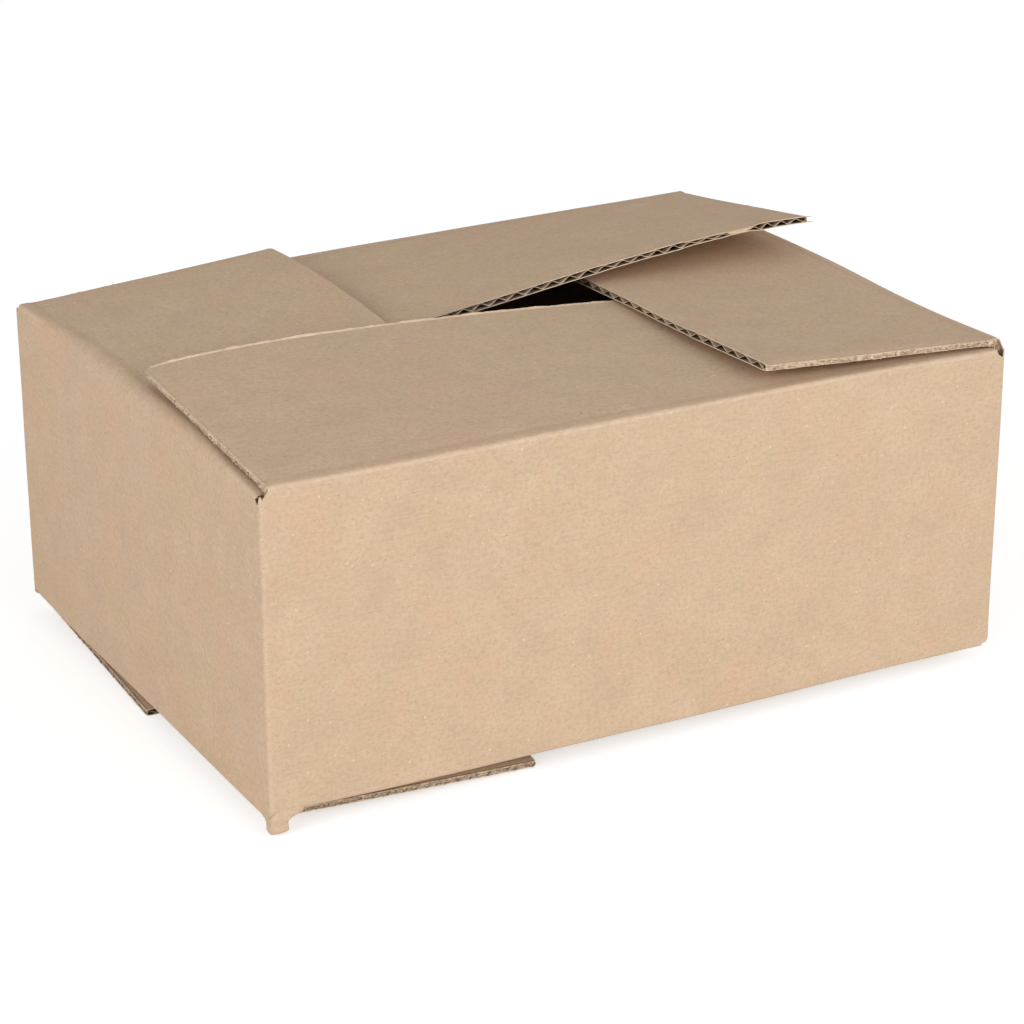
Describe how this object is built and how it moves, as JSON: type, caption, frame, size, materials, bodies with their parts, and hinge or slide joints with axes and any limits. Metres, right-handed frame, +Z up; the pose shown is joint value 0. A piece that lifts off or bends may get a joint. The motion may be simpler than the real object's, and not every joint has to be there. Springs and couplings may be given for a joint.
{
  "type": "closed cardboard box",
  "caption": "Closed slotted carton of brown corrugated board, folded from one blank, with interlocked top and bottom flaps that show their open flutes.",
  "frame": {"origin": "under the middle of the carton, on the surface that it stands on", "axes": "+X along the length of the front wall, +Y from the front wall to the back wall, +Z up"},
  "size_m": [0.306, 0.226, 0.1492],
  "materials": {
    "kraft_board": "matte"
  },
  "bodies": {
    "root": {"folded_box": "kraft_board"}
  },
  "joints": []
}
